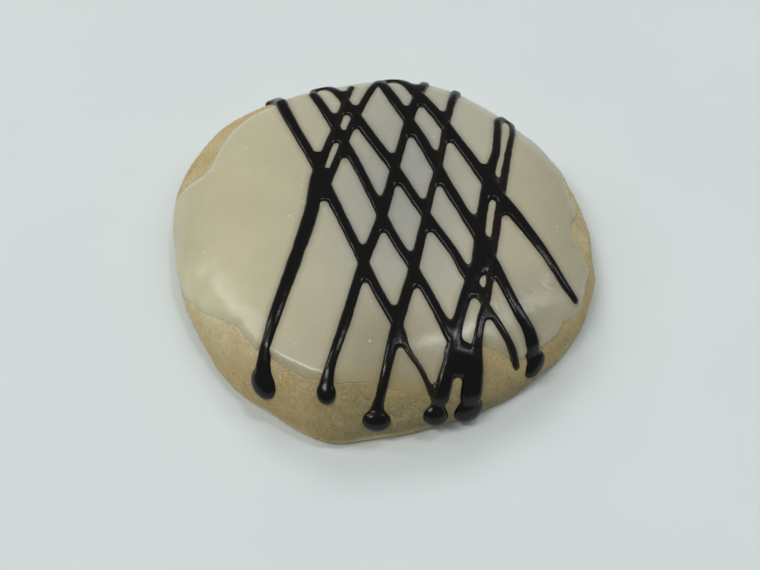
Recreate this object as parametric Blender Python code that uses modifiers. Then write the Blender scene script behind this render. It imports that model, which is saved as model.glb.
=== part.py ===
"""Iced lemon cookie with a piped chocolate drizzle.

A thick, soft, round cookie lies flat on its underside.  A lemon glaze covers its top and
shoulder and ends in an uneven hem.  Two passes of dark chocolate cross over the glaze in a
lattice, and most strokes end in drops that hang on the front flank.

Frame: +Z is up, the front (the side with the drops) faces -Y, and the origin is in the
middle of the object's outline box, on the underside.  The named sizes are millimetres in
a drawing's own plan, which is moved to that origin at the end; Blender gets metres.
"""

import bpy
import bmesh
from math import atan2, ceil, cos, degrees, exp, hypot, pi, radians, sin
from mathutils import Matrix, Vector

mm = 0.001

# ---------------------------------------------------------------- driving dimensions

half_width = 41.0            # nominal radius that the half section is drawn for
segments = 72                # sides round the cookie
middle = (0.1388, -0.0045)   # where the middle of the finished outline's box lies in the plan

# Outline radius seen from above, every 15 degrees from +X, counterclockwise.
outline_radii = (
    40.6, 40.6, 40.4, 40.1, 40.6, 41.3, 40.9, 40.5, 42.3, 44.1, 43.6, 41.2,
    38.7, 37.7, 37.9, 39.3, 40.0, 41.2, 39.7, 38.6, 38.9, 39.2, 40.5, 40.8,
)

# How far the flank leans back, every 30 degrees: 1 is the sloping front, less is steeper.
flank_lean = (1.0, 0.8, 0.65, 0.6, 0.65, 0.8, 0.95, 1.0, 1.0, 1.0, 1.0, 1.0)

# Half section of the bare cookie, as (inset from the outline, height): from the middle of
# the faintly dished top, over the shoulder and down the flank, round the foot to the
# flat underside.
crust_profile = (
    (41.0, 12.6), (30.0, 12.75), (20.0, 12.95), (14.8, 12.8), (11.0, 12.3), (7.8, 11.2),
    (5.2, 9.7), (3.1, 8.0), (1.5, 6.2), (0.4, 4.3), (0.0, 2.6), (0.6, 1.2), (1.9, 0.35),
    (4.2, 0.0), (8.0, 0.0), (41.0, 0.0),
)
flank_start = 3              # the profile point where the shoulder starts to fall
widest = 10                  # the profile point where the cookie is widest
underside_start = 13         # the profile point where the flat underside starts
flank_step = 0.5             # mesh rings every half point of the profile between the two

# The baked crust: shallow dents on the bare flank, a low fold along the front, and a
# foot where the dough spread a little further.
dent_depth = 0.15
dent_waves = ((7, 0.5, 0.0, 1.0), (13, -0.8, 1.1, 0.7), (23, 1.1, 2.0, 0.6))
fold = {"angle": 276.0, "spread": 15.0, "height": 4.6, "rise": 0.4, "width": 0.8}
foot = {"angle": 257.0, "spread": 8.0, "height": 1.9, "rise": 0.5, "width": 1.4}
dent_low, dent_high = 1.2, 10.5      # below and above these heights the dents fade out

# The glaze stops short of the outline by these insets, every 15 degrees from +X.
icing_inset = (
    5.1, 3.9, 3.6, 4.0, 4.6, 4.2, 4.4, 5.0, 7.4, 8.9, 8.8, 1.2,
    0.2, 0.3, 2.7, 5.7, 5.5, 6.0, 5.4, 2.9, 6.6, 2.3, 2.4, 1.8,
)
least_inset = 0.1
clearance = 0.3              # kept between the cookie and what lies on it
icing_thickness = 0.95
icing_root = 0.5             # how deep the glaze is drawn into the crust before it is trimmed
hem_roll = 0.5               # height of the rounded hem
hem_start = 0.955            # where the hem starts to round, as a share of the way out
hem_turns = (30, 60, 90)     # degrees of the round that the hem's rings lie at
top_shares = (0.0, 0.3, 0.55, 0.75, 0.88)    # the other rings of the glaze, as shares
root_shares = (1.0, 0.88, 0.6, 0.0)

# Chocolate strokes, each as (x, y, half width), where x and y are in the plan of the crust
# below the stroke, from the back to the front.  The nozzle let them fall straight down, so
# they run nearly straight in plan.  The falling ones slant to the right towards the front,
# the rising ones to the left.
strokes = {
    "falling_1": ((-20.6, 34.0, 1.1), (-18.9, 28.0, 0.95), (-16.6, 22.0, 0.85),
                  (-12.2, 12.9, 0.85), (-8.8, 4.3, 0.85), (-5.0, -5.3, 0.8), (-0.4, -17.1, 0.75),
                  (3.0, -24.4, 0.9), (4.8, -28.9, 0.42), (7.0, -31.8, 0.4), (8.7, -34.7, 0.4)),
    "falling_2": ((-13.5, 32.6, 0.75), (-9.0, 23.4, 0.8), (-3.8, 11.7, 0.75), (1.8, -2.8, 0.75),
                  (6.4, -12.6, 0.75), (10.1, -21.2, 0.75), (12.6, -27.0, 0.9)),
    "falling_3": ((-13.5, 32.6, 0.6), (-12.3, 34.4, 0.7), (-10.3, 34.6, 0.7), (-8.9, 33.0, 0.7),
                  (-7.3, 30.4, 0.75), (-2.7, 21.9, 0.95), (2.8, 12.5, 0.9), (8.9, 0.5, 0.8),
                  (14.4, -10.1, 0.75), (19.1, -19.8, 0.75), (22.2, -25.1, 0.75),
                  (23.8, -28.2, 0.65)),
    "falling_4": ((-0.3, 37.3, 0.8), (2.9, 29.8, 0.9), (8.1, 19.4, 0.95), (13.3, 6.6, 0.95),
                  (17.6, -3.1, 1.0), (19.9, -10.6, 1.1), (23.5, -18.4, 0.95), (26.6, -23.9, 0.9),
                  (27.4, -27.0, 1.1)),
    "falling_5": ((0.4, 36.6, 0.6), (2.0, 38.3, 0.7), (3.9, 38.0, 0.8), (5.1, 35.8, 0.85),
                  (6.7, 32.8, 0.9), (10.1, 27.7, 0.95), (16.2, 16.8, 0.95), (21.2, 7.1, 1.0),
                  (26.4, -3.0, 1.0), (32.5, -11.5, 0.85), (35.2, -15.2, 0.6)),
    "rising_1": ((-5.5, 34.6, 0.5), (-8.9, 21.9, 0.5), (-11.4, 10.0, 1.2), (-12.6, 1.9, 1.25),
                 (-15.3, -10.1, 1.25), (-18.2, -20.9, 1.1), (-19.6, -27.5, 0.95),
                 (-20.0, -31.9, 1.2)),
    "rising_2": ((-0.3, 37.3, 0.65), (-4.9, 25.0, 0.6), (-9.2, 11.4, 0.65), (-11.4, 5.0, 0.8)),
    "rising_3": ((9.0, 36.6, 0.9), (6.0, 26.0, 0.7), (3.3, 14.4, 0.65), (0.3, 0.5, 0.8),
                 (-3.1, -11.0, 0.85), (-6.1, -23.6, 0.9), (-8.6, -32.3, 0.85), (-9.3, -35.6, 1.1)),
    "rising_4": ((15.3, 35.0, 0.55), (13.1, 23.1, 0.5), (9.5, 5.5, 0.5), (6.3, -11.1, 0.8),
                 (3.0, -24.4, 1.1), (1.1, -32.2, 0.85), (-0.7, -38.3, 1.1)),
    "rising_5": ((23.9, 28.2, 0.8), (22.4, 16.5, 0.95), (20.1, 4.1, 0.95), (18.9, -7.0, 1.2),
                 (16.1, -14.8, 1.1), (13.9, -22.0, 0.85), (12.6, -28.5, 1.0), (11.4, -32.3, 1.2),
                 (9.8, -36.5, 1.1)),
    "rising_6": ((23.9, 28.2, 0.5), (25.4, 27.2, 0.5), (25.1, 23.0, 0.5), (23.6, 11.5, 0.5),
                 (21.4, -3.2, 0.45), (19.1, -16.0, 0.6), (17.4, -24.0, 0.75), (15.9, -30.0, 1.1),
                 (15.2, -35.0, 1.2)),
}
stroke_step = 4.4            # spacing of the points along a stroke
stroke_sides = 2             # bevel resolution, for eight sides
tip_length, tip_width = 0.5, 0.55    # how a stroke's ends narrow, as shares of its half width
hem_fall = 2.0               # how steeply a stroke comes down off the glaze at the hem

# Drops at the strokes' ends, and pools where strokes ran together, each as
# (x, y, half width across, half length along the slope).
drops = (
    (-19.9, -32.2, 2.3, 2.7), (-9.3, -35.7, 1.7, 2.0), (-0.7, -38.7, 2.6, 2.1),
    (9.7, -36.9, 2.3, 2.0), (15.2, -35.4, 2.6, 2.1), (27.3, -27.2, 1.7, 2.2),
)
pools = (
    (-11.2, 8.0, 1.4, 2.2), (20.9, 8.0, 1.9, 3.4), (18.9, -7.4, 2.0, 3.4), (14.2, -30.0, 2.8, 2.7),
)
drop_height = 0.72           # how far a drop stands off its ground, as a share of its half width
pool_height = 0.45
drop_sides, drop_rings = 12, 6

weld = 0.005                 # points closer than this are made one
tiny = 0.01                  # a small step along the half section, in points, or in radians


# ---------------------------------------------------------------- curves and the crust

def blend(before, start, end, after, t):
    """Catmull-Rom curve from start (t = 0) to end (t = 1)."""
    return 0.5 * (2 * start + (end - before) * t
                  + (2 * before - 5 * start + 4 * end - after) * t ** 2
                  + (3 * start - before - 3 * end + after) * t ** 3)


def around(values, angle):
    """A value at an angle, from values spaced evenly round the circle."""
    place = (angle / (2 * pi)) % 1.0 * len(values)
    k = int(place)
    four = [values[(k + step) % len(values)] for step in (-1, 0, 1, 2)]
    return blend(*four, place - k)


def along(points, place):
    """The point at a place (0 to len - 1) on the smooth curve through the points."""
    last = len(points) - 1
    k = min(max(int(place), 0), last - 1)
    four = [points[min(max(k + step, 0), last)] for step in (-1, 0, 1, 2)]
    return [blend(*axis, place - k) for axis in zip(*four)]


def bell(distance, width):
    """1 at no distance, falling smoothly to nothing past the width."""
    return exp(-(distance / width) ** 2)


def clamp(value):
    return min(max(value, 0.0), 1.0)


def spread(section_radius, angle):
    """Plan radius on the real outline of a point of the half section."""
    reach = max(section_radius, 0.0) / half_width
    return around(outline_radii, angle) * reach ** around(flank_lean, angle)


def crust_point(place, angle):
    """A point of the crust, by its place on the half section and its direction."""
    inset, height = along(crust_profile, place)
    radius = spread(half_width - inset, angle)
    return Vector((radius * cos(angle), radius * sin(angle), height))


def crust_normal(place, angle):
    """Outward direction, square to the plain crust."""
    place = max(place, tiny)
    down = crust_point(place + tiny, angle) - crust_point(place - tiny, angle)
    turn = crust_point(place, angle + tiny) - crust_point(place, angle - tiny)
    return down.cross(turn).normalized()


def lifted(place, angle, lift):
    """A point over the crust, at a height measured square to it."""
    return crust_point(place, angle) + crust_normal(place, angle) * lift


def place_at_inset(inset):
    """The place on the upper half section with this inset, found by halving."""
    low, high = 0.0, float(widest)
    while high - low > 1e-6:
        half = (low + high) / 2
        if along(crust_profile, half)[0] > inset:
            low = half
        else:
            high = half
    return low


def hem_place(angle):
    return place_at_inset(max(around(icing_inset, angle), least_inset))


def under_plan_point(x, y):
    """Place and direction of the crust under a point of the plan."""
    angle = atan2(y, x)
    reach = min(hypot(x, y) / around(outline_radii, angle), 1.0)
    return place_at_inset(half_width * (1 - reach ** (1 / around(flank_lean, angle)))), angle


def ground_lift(place, angle):
    """Height over the crust of what the chocolate lies on: the glaze, or the bare crust."""
    inside_hem = hem_place(angle) - place
    return clearance + icing_thickness * clamp(0.5 + hem_fall * inside_hem)


# ---------------------------------------------------------------- Blender helpers

def new_collection(name):
    collection = bpy.data.collections.new(name)
    bpy.context.scene.collection.children.link(collection)
    return collection


def new_material(name, color, roughness, subsurface):
    material = bpy.data.materials.new(name)
    material.use_nodes = True
    shader = material.node_tree.nodes["Principled BSDF"]
    shader.inputs["Base Color"].default_value = (*color, 1.0)
    shader.inputs["Roughness"].default_value = roughness
    shader.inputs["Metallic"].default_value = 0.0
    shader.inputs["Subsurface Weight"].default_value = subsurface
    return material


def new_object(name, data, collection):
    obj = bpy.data.objects.new(name, data)
    collection.objects.link(obj)
    return obj


def baked_mesh(obj):
    """The object's mesh with its modifiers applied and its doubles and caps welded."""
    bpy.context.view_layer.update()
    evaluated = obj.evaluated_get(bpy.context.evaluated_depsgraph_get())
    mesh = bpy.data.meshes.new_from_object(evaluated)
    form = bmesh.new()
    form.from_mesh(mesh)
    bmesh.ops.remove_doubles(form, verts=form.verts, dist=weld * mm)
    form.to_mesh(mesh)
    form.free()
    return mesh


def turned(name, section, collection):
    """An object turned from (radius, height) points that run down the outer side."""
    mesh = bpy.data.meshes.new(name)
    points = [(radius * mm, 0.0, height * mm) for radius, height in section]
    mesh.from_pydata(points, [(k, k + 1) for k in range(len(points) - 1)], [])
    obj = new_object(name, mesh, collection)
    screw = obj.modifiers.new("turn", "SCREW")
    screw.steps = screw.render_steps = segments
    screw.use_merge_vertices = True
    screw.merge_threshold = 0.00001
    screw.use_smooth_shade = True
    obj.data = baked_mesh(obj)
    obj.modifiers.clear()
    return obj


def reshape(mesh, move):
    """Moves each vertex, given and returned in millimetres."""
    for vertex in mesh.vertices:
        vertex.co = move(vertex.co / mm) * mm
    mesh.update()


def boolean(obj, operation, solver):
    modifier = obj.modifiers.new(operation.lower(), "BOOLEAN")
    modifier.operation = operation
    modifier.solver = solver
    return modifier


# ---------------------------------------------------------------- the cookie

def crust_relief(point):
    """How far the baked crust stands out of its plain turned form."""
    if point.z <= tiny:
        return 0.0
    angle = atan2(point.y, point.x)
    bare = clamp(point.z / dent_low) * clamp(dent_high - point.z)
    dents = sum(weight * sin(count * angle + slant * point.z + start)
                for count, slant, start, weight in dent_waves)
    relief = dent_depth * dents * bare
    for swell in (fold, foot):
        relief += (swell["rise"] * bell(degrees(angle) % 360 - swell["angle"], swell["spread"])
                   * bell(point.z - swell["height"], swell["width"]))
    return relief


def cookie_section():
    """The half section as (radius, height), with close rings on the flank."""
    flank_rings = int((underside_start - flank_start) / flank_step)
    places = list(range(flank_start))
    places += [flank_start + ring * flank_step for ring in range(flank_rings + 1)]
    places.append(len(crust_profile) - 1)
    return [(half_width - inset, height)
            for inset, height in (along(crust_profile, place) for place in places)]


def make_cookie(collection):
    cookie = turned("cookie", cookie_section(), collection)

    def to_outline(point):
        angle = atan2(point.y, point.x)
        radius = spread(hypot(point.x, point.y), angle)
        return Vector((radius * cos(angle), radius * sin(angle), max(point.z, 0.0)))

    reshape(cookie.data, to_outline)
    normals = [vertex.normal.copy() for vertex in cookie.data.vertices]
    for vertex, normal in zip(cookie.data.vertices, normals):
        vertex.co += normal * crust_relief(vertex.co / mm) * mm
        vertex.co.z = max(vertex.co.z, 0.0)
    cookie.data.update()
    cookie.data.materials.append(new_material("baked_crust", (0.36, 0.27, 0.13), 0.75, 0.1))
    return cookie


def make_clearance(cookie, collection):
    """The cookie swollen by the clearance, to trim what lies on it."""
    cutter = new_object("crust_clearance", cookie.data.copy(), collection)
    swell = cutter.modifiers.new("swell", "DISPLACE")
    swell.strength = clearance * mm
    swell.mid_level = 0.0
    cutter.hide_render = True
    cutter.display_type = "WIRE"
    return cutter


# ---------------------------------------------------------------- the glaze

def glaze_section():
    """Half section of the glaze laid flat, as (share of the way to the hem, height over
    the crust).  It thins to a rounded hem, and its root is sunk in the crust."""
    top = clearance + icing_thickness
    flat = [(share, top) for share in (*top_shares, hem_start)]
    roll = [(hem_start + (1 - hem_start) * sin(radians(turn)),
             top - hem_roll * (1 - cos(radians(turn)))) for turn in hem_turns]
    root = [(share, -icing_root) for share in root_shares]
    return flat + roll + root


def make_icing(collection):
    icing = turned("icing", glaze_section(), collection)

    def drape(point):
        angle = atan2(point.y, point.x)
        return lifted(hypot(point.x, point.y) * hem_place(angle), angle, point.z)

    reshape(icing.data, drape)
    icing.data.materials.append(new_material("lemon_glaze", (0.50, 0.46, 0.33), 0.25, 0.3))
    return icing


# ---------------------------------------------------------------- the drizzle

def with_tips(points):
    """Adds a narrower point past each end of a stroke, which rounds it off."""
    first, second, before_last, last = (Vector(points[k]) for k in (0, 1, -2, -1))
    tips = []
    for end, inner in ((first, second), (last, before_last)):
        heading = Vector((end.x - inner.x, end.y - inner.y)).normalized() * tip_length * end.z
        tips.append((end.x + heading.x, end.y + heading.y, end.z * tip_width))
    return [tips[0], *points, tips[1]]


def stroke_points(controls):
    """Points (x, y, half width) evenly along the smooth curve through the controls."""
    points = []
    for k in range(len(controls) - 1):
        (x0, y0, _), (x1, y1, _) = controls[k], controls[k + 1]
        count = ceil(hypot(x1 - x0, y1 - y0) / stroke_step)
        points += [along(controls, k + step / count) for step in range(count)]
    return with_tips([*points, controls[-1]])


def make_stroke(name, controls, collection):
    """A round bead, sunk to its middle in what it lies on."""
    curve = bpy.data.curves.new(name, "CURVE")
    curve.dimensions = "3D"
    curve.bevel_depth = mm
    curve.bevel_resolution = stroke_sides
    curve.use_fill_caps = True
    spline = curve.splines.new("POLY")
    points = stroke_points(controls)
    spline.points.add(len(points) - 1)
    for spot, (x, y, half) in zip(spline.points, points):
        place, angle = under_plan_point(x, y)
        spot.co = (*(lifted(place, angle, ground_lift(place, angle)) * mm), 1.0)
        spot.radius = half
    tube = new_object(name, curve, collection)
    solid = new_object(name + "_solid", baked_mesh(tube), collection)
    solid.matrix_world = tube.matrix_world
    bpy.data.objects.remove(tube)


def make_drop(name, x, y, across, lengthways, height, collection):
    """A flattened bead, its long way down the slope."""
    place, angle = under_plan_point(x, y)
    centre = lifted(place, angle, ground_lift(place, angle))
    normal = crust_normal(place, angle)
    front = Vector((0.0, -1.0, 0.0))
    down = (front - normal * front.dot(normal)).normalized()
    axes = (down.cross(normal) * across, down * lengthways, normal * height * across)
    bead = bmesh.new()
    bmesh.ops.create_uvsphere(bead, u_segments=drop_sides, v_segments=drop_rings, radius=1.0)
    turn = Matrix(axes).transposed()
    for vertex in bead.verts:
        vertex.co = (turn @ vertex.co + centre) * mm
    mesh = bpy.data.meshes.new(name)
    bead.to_mesh(mesh)
    bead.free()
    new_object(name, mesh, collection)


def add_drizzle(icing):
    """Fuses the strokes, drops and pools to the glaze in one union."""
    drizzle = new_collection("drizzle")
    for name, controls in strokes.items():
        make_stroke(name, controls, drizzle)
    for kind, shapes, height in (("drop", drops, drop_height), ("pool", pools, pool_height)):
        for number, shape in enumerate(shapes, 1):
            make_drop("%s_%d" % (kind, number), *shape, height, drizzle)
    union = boolean(icing, "UNION", "EXACT")
    union.operand_type = "COLLECTION"
    union.collection = drizzle
    icing.data = baked_mesh(icing)
    icing.modifiers.clear()
    for piece in list(drizzle.objects):
        bpy.data.objects.remove(piece)
    bpy.data.collections.remove(drizzle)


# ---------------------------------------------------------------- assembly

def main():
    for old in list(bpy.data.objects):
        bpy.data.objects.remove(old)
    parts = new_collection("lemon_cookie")
    cutters = new_collection("cutters")
    cookie = make_cookie(parts)
    icing = make_icing(parts)
    add_drizzle(icing)
    cutter = make_clearance(cookie, cutters)
    boolean(icing, "DIFFERENCE", "MANIFOLD").object = cutter
    to_origin = Matrix.Translation((-middle[0] * mm, -middle[1] * mm, 0.0))
    for piece in (cookie, icing, cutter):
        piece.data.transform(to_origin)


main()
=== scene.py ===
import math
import bpy
import numpy as np
from mathutils import Matrix, Vector, noise
from mathutils.kdtree import KDTree


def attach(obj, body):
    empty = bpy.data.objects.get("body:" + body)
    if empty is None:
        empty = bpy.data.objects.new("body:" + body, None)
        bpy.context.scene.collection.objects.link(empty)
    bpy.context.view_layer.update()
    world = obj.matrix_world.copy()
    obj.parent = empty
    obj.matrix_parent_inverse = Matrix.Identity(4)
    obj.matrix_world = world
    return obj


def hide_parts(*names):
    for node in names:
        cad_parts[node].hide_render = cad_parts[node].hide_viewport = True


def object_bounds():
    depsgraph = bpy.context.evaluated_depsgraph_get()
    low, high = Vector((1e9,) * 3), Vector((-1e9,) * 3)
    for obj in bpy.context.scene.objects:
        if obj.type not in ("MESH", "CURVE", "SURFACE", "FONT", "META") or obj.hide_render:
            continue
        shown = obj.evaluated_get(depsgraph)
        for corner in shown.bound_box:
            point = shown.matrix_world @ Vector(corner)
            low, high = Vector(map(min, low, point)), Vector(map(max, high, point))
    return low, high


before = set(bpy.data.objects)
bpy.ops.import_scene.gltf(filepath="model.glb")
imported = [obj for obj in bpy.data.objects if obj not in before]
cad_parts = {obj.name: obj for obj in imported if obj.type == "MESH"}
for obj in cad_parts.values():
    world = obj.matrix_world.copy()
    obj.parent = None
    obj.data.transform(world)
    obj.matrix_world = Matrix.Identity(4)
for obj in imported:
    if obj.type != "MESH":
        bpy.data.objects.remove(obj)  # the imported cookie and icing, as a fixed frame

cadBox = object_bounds()
mm = 0.001


def linearColor(hexCode):  # sRGB hex to the linear colour that shaders take
    parts = [int(hexCode[k:k + 2], 16) / 255 for k in (1, 3, 5)]
    return [p / 12.92 if p <= 0.04045 else ((p + 0.055) / 1.055) ** 2.4 for p in parts] + [1.0]


def setInputs(tree, node, values):  # each input takes a number, or the socket that feeds it
    for name, value in values.items():
        if isinstance(value, bpy.types.NodeSocket):
            tree.links.new(value, node.inputs[name])
        else:
            node.inputs[name].default_value = value


def addNode(tree, kind, values=None, **settings):
    node = tree.nodes.new(kind)
    for name, value in settings.items():
        setattr(node, name, value)
    setInputs(tree, node, values or {})
    return node


def fillRamp(ramp, stops):  # stops as (position, hex)
    while len(ramp.elements) < len(stops):
        ramp.elements.new(1.0)
    for element, (position, hexCode) in zip(ramp.elements, stops):
        element.position = position
        element.color = linearColor(hexCode)


def smoothStep(low, high, x):
    t = np.clip((x - low) / (high - low), 0.0, 1.0)
    return t * t * (3 - 2 * t)


def bell(distance, width):  # 1 at no distance, nothing well past the width
    return np.exp(-(distance / width) ** 2)


# Smooth noise from -1 to 1, for points in mm and lumps of this size in mm
def noiseAt(points, size, octaves=1, shift=0.0):
    scaled = points / size + shift
    return np.array([noise.fractal(p, 1.0, 2.0, octaves) if octaves > 1 else noise.noise(p)
                     for p in map(Vector, scaled.tolist())])


def addObject(name, data):
    added = bpy.data.objects.new(name, data)
    bpy.context.scene.collection.objects.link(added)
    return added


def newPiece(name, points, faces, material):  # points in mm, in the drawing's plan
    mesh = bpy.data.meshes.new(name)
    mesh.from_pydata(((points - middle) * mm).tolist(), [], faces)
    mesh.update()
    mesh.polygons.foreach_set("use_smooth", np.ones(len(mesh.polygons), dtype=bool))
    mesh.materials.append(material)
    return addObject(name, mesh)


def storeColors(mesh, name, colors):
    attribute = mesh.attributes.new(name, "FLOAT_COLOR", "POINT")
    withAlpha = np.concatenate((colors, np.ones((len(colors), 1))), 1)
    attribute.data.foreach_set("color", withAlpha.astype(np.float32).ravel())


def storeValues(mesh, name, values):
    attribute = mesh.attributes.new(name, "FLOAT", "POINT")
    attribute.data.foreach_set("value", np.asarray(values, np.float32))


def treeOf(points):  # finds the nearest of these points
    tree = KDTree(len(points))
    for number, point in enumerate(points.tolist()):
        tree.insert(point, number)
    tree.balance()
    return tree


# The baked cookie that everything lies on, in mm, as in the part's drawing
cookieShape = {
    "halfWidth": 41.0,
    # radius every 15 degrees
    "outline": (40.6, 40.6, 40.4, 40.1, 40.6, 41.3, 40.9, 40.5, 42.3, 44.1, 43.6, 41.2,
                38.7, 37.7, 37.9, 39.3, 40.0, 41.2, 39.7, 38.6, 38.9, 39.2, 40.5, 40.8),
    # how the flank leans every 30 degrees, less is steeper
    "lean": (1.0, 0.8, 0.65, 0.6, 0.65, 0.8, 0.95, 1.0, 1.0, 1.0, 1.0, 1.0),
    # (inset, height) from the middle of the top round to the middle of the underside
    "profile": ((41.0, 12.6), (30.0, 12.75), (20.0, 12.95), (14.8, 12.8), (11.0, 12.3), (7.8, 11.2),
                (5.2, 9.7), (3.1, 8.0), (1.5, 6.2), (0.4, 4.3), (0.0, 2.6), (0.6, 1.2), (1.9, 0.35),
                (4.2, 0.0), (8.0, 0.0), (41.0, 0.0)),
    "widest": 10,        # the point of the profile that stands out most
    "underside": 13,     # and the one where the underside starts
    "dentDepth": 0.15,
    # waves round the cookie, slant, start and weight of each set of dents
    "dentWaves": ((7, 0.5, 0.0, 1.0), (13, -0.8, 1.1, 0.7), (23, 1.1, 2.0, 0.6)),
    "dentFade": (1.2, 7.5, 11.5),    # heights between which the dents are full, and where they are gone
    # angle, spread, height, rise and width of the fold and the foot
    "swells": ((276.0, 15.0, 4.6, 0.4, 0.8), (257.0, 8.0, 1.9, 0.5, 1.4)),
}
middle = np.array((0.1388, -0.0045, 0.0))  # from the drawing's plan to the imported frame
halfWidth = cookieShape["halfWidth"]
profile = np.array(cookieShape["profile"])


def curveThrough(four, t):  # between the middle two of four evenly spaced values
    a, b, c, d = four
    bend = 2 * a - 5 * b + 4 * c - d
    twist = 3 * b - a - 3 * c + d
    return 0.5 * (2 * b + (c - a) * t + bend * t ** 2 + twist * t ** 3)


def splineAt(rows, place):  # a smooth curve through rows of values, at places counted in rows
    last = len(rows) - 1
    k = np.clip(np.floor(place).astype(int), 0, last - 1)
    four = [rows[np.clip(k + step, 0, last)] for step in (-1, 0, 1, 2)]
    return curveThrough(four, (place - k)[..., None])


def aroundRim(values, angle):  # a value at an angle, from values spaced evenly round the cookie
    values = np.array(values)
    place = (np.asarray(angle) / (2 * np.pi)) % 1.0 * len(values)
    k = np.floor(place).astype(int)
    return curveThrough([values[(k + step) % len(values)] for step in (-1, 0, 1, 2)], place - k)


def alongSection(place):  # inset and height at a place counted in points of the profile
    found = splineAt(profile, np.asarray(place, float))
    return found[..., 0], found[..., 1]


def plainPoint(place, angle):  # on the crust without its dents
    inset, height = alongSection(place)
    reach = np.maximum(halfWidth - inset, 0.0) / halfWidth
    radius = aroundRim(cookieShape["outline"], angle) * reach ** aroundRim(cookieShape["lean"], angle)
    return np.stack((radius * np.cos(angle), radius * np.sin(angle), height), -1)


def plainNormal(place, angle):  # straight out of it
    place = np.maximum(place, 0.01)
    down = plainPoint(place + 0.01, angle) - plainPoint(place - 0.01, angle)
    turn = plainPoint(place, angle + 0.01) - plainPoint(place, angle - 0.01)
    normal = np.cross(down, turn)
    return normal / np.linalg.norm(normal, axis=-1, keepdims=True)


def crustRelief(points):  # the dents, the fold and the foot that the part has too
    angle = np.arctan2(points[..., 1], points[..., 0])
    height = points[..., 2]
    full, fading, gone = cookieShape["dentFade"]
    bare = np.clip(height / full, 0, 1) * (1 - smoothStep(fading, gone, height))
    dents = sum(weight * np.sin(count * angle + slant * height + start)
                for count, slant, start, weight in cookieShape["dentWaves"])
    relief = dents * cookieShape["dentDepth"] * bare
    for at, spread, level, rise, width in cookieShape["swells"]:
        relief = relief + rise * bell(np.degrees(angle) % 360 - at, spread) * bell(height - level, width)
    return np.where(height > 0.01, relief, 0.0)


def surfacePoint(place, angle, lift=0.0):  # over the baked crust, square to it
    point = plainPoint(place, angle)
    return point + plainNormal(place, angle) * (crustRelief(point) + lift)[..., None]


# Insets from the middle to the widest place, and lengths along the whole section, for finding places
fineRow = np.linspace(0, cookieShape["widest"], 4001)
fineInset = np.minimum.accumulate(alongSection(fineRow)[0])
fullRow = np.linspace(0, len(profile) - 1, 6001)
fullArc = np.concatenate(([0.0], np.cumsum(np.hypot(*np.diff(np.array(alongSection(fullRow)), axis=1)))))


def placeAtInset(inset):
    return np.interp(inset, fineInset[::-1], fineRow[::-1])


def placeAtArc(arc):
    return np.interp(arc, fullArc, fullRow)


def arcAtPlace(place):
    return np.interp(place, fullRow, fullArc)


def underPlan(x, y):  # place and angle of the crust under a point of the plan
    angle = np.arctan2(y, x)
    reach = np.minimum(np.hypot(x, y) / aroundRim(cookieShape["outline"], angle), 1.0)
    return placeAtInset(halfWidth * (1 - reach ** (1 / aroundRim(cookieShape["lean"], angle)))), angle


hemShape = {
    # (angle in degrees, inset from the rim in mm)
    "insets": ((3, 5.0), (7, 3.7), (15, 3.9), (23, 3.1), (30, 3.6), (45, 4.0), (60, 4.6), (75, 4.2),
               (90, 4.4), (105, 5.0), (120, 7.4), (128, 8.8), (134, 8.9), (140, 8.5), (144, 8.7),
               (148, 8.8), (153, 8.7), (157, 8.3), (159.5, 7.0), (161, 4.4), (162.5, 2.2), (164, 0.8),
               (168, 0.3), (176, 0.15), (190, 0.15), (198, 0.5), (204, 1.6), (208, 2.2), (212, 3.3),
               (218, 4.9), (222, 5.9), (226, 5.7), (231, 5.4), (237, 5.5), (242, 5.5), (246, 5.6),
               (253, 5.9), (258, 6.1), (261, 6.3), (266, 6.2), (271, 5.2), (276, 4.1), (281, 3.4),
               (284, 2.9), (288, 3.6), (294, 5.2), (300, 6.6), (304, 6.9), (308, 4.9), (310, 2.6),
               (315, 2.3), (320, 2.0), (326, 2.1), (329, 2.6), (334, 1.7), (337, 1.6), (342, 1.9),
               (345, 1.8), (350, 1.5), (351, 2.3), (354, 3.3), (357, 3.9), (358.5, 5.0)),
    "wander": 0.10,      # how far the hem strays from that line, as a share of the inset or of 2 mm
    "wanderLumps": (2.2, 0.8),    # mm
    "wanderCircle": 40.0,         # mm, radius of the circle on which the wandering is worked out
    # (angle, width of the rounded lip, its bluntness from 0, a feather edge, to 1, a quarter round,
    # the swell behind it, how high the crust stands at the hem)
    "lip": ((0, 1.2, 0.5, 0.03, 0.5), (60, 1.3, 0.5, 0.0, 0.6), (120, 1.8, 0.4, 0.05, 0.7),
            (160, 2.0, 0.3, 0.08, 0.6), (180, 1.8, 0.3, 0.06, 0.5), (198, 1.6, 0.3, 0.05, 0.8),
            (212, 1.5, 0.3, 0.03, 0.95), (230, 1.4, 0.3, 0.0, 1.0), (250, 1.8, 0.1, 0.0, 1.1),
            (262, 2.2, 0.0, 0.0, 1.15), (285, 2.4, 0.0, 0.0, 1.17), (297, 2.2, 0.0, 0.0, 1.1),
            (308, 1.6, 0.4, 0.05, 0.75), (315, 1.2, 0.6, 0.08, 0.5), (345, 1.0, 0.6, 0.06, 0.5)),
    "swellWidth": 0.9,   # of the swell behind the lip
    "thickness": 1.25,   # of the glaze, over the crust
    "bank": 4.0,         # mm, how far outside the hem the crust rises to meet the glaze
    "steps": 2880,       # points of the rim, all round
}
hemAngles = np.radians([angle for angle, inset in hemShape["insets"]])
hemInsets = np.array([inset for angle, inset in hemShape["insets"]])


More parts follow.
